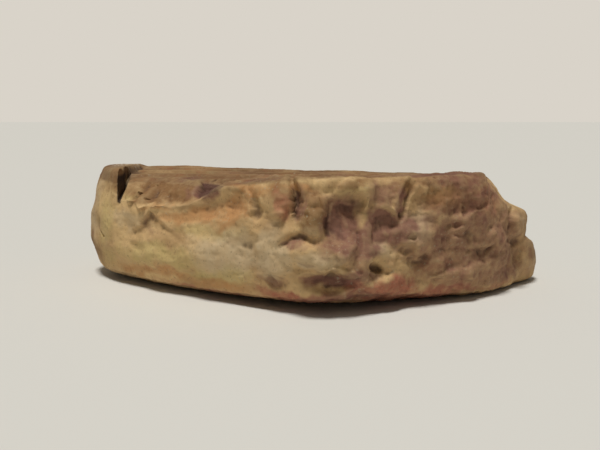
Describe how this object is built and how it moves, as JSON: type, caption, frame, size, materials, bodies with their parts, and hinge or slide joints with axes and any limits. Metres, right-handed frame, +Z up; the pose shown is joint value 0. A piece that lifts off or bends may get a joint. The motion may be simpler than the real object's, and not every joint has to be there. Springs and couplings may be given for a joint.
{
  "type": "clay seal",
  "caption": "Broken ancient clay seal lying face up: a flat lump with a raised border, a slot beside it, rows of shallow strokes on its face and a rough broken front.",
  "frame": {"origin": "middle of the lump's outline, on the surface it rests on", "axes": "+Z up out of the impressed face, +X along the long way from the whole left end to the broken right end, +Y from the broken front to the whole back edge"},
  "size_m": [0.0566, 0.0356, 0.0146],
  "materials": {
    "clay": "matte, dry, weathered clay with earth stains"
  },
  "bodies": {
    "root": {"clay_seal": "clay"}
  },
  "joints": []
}
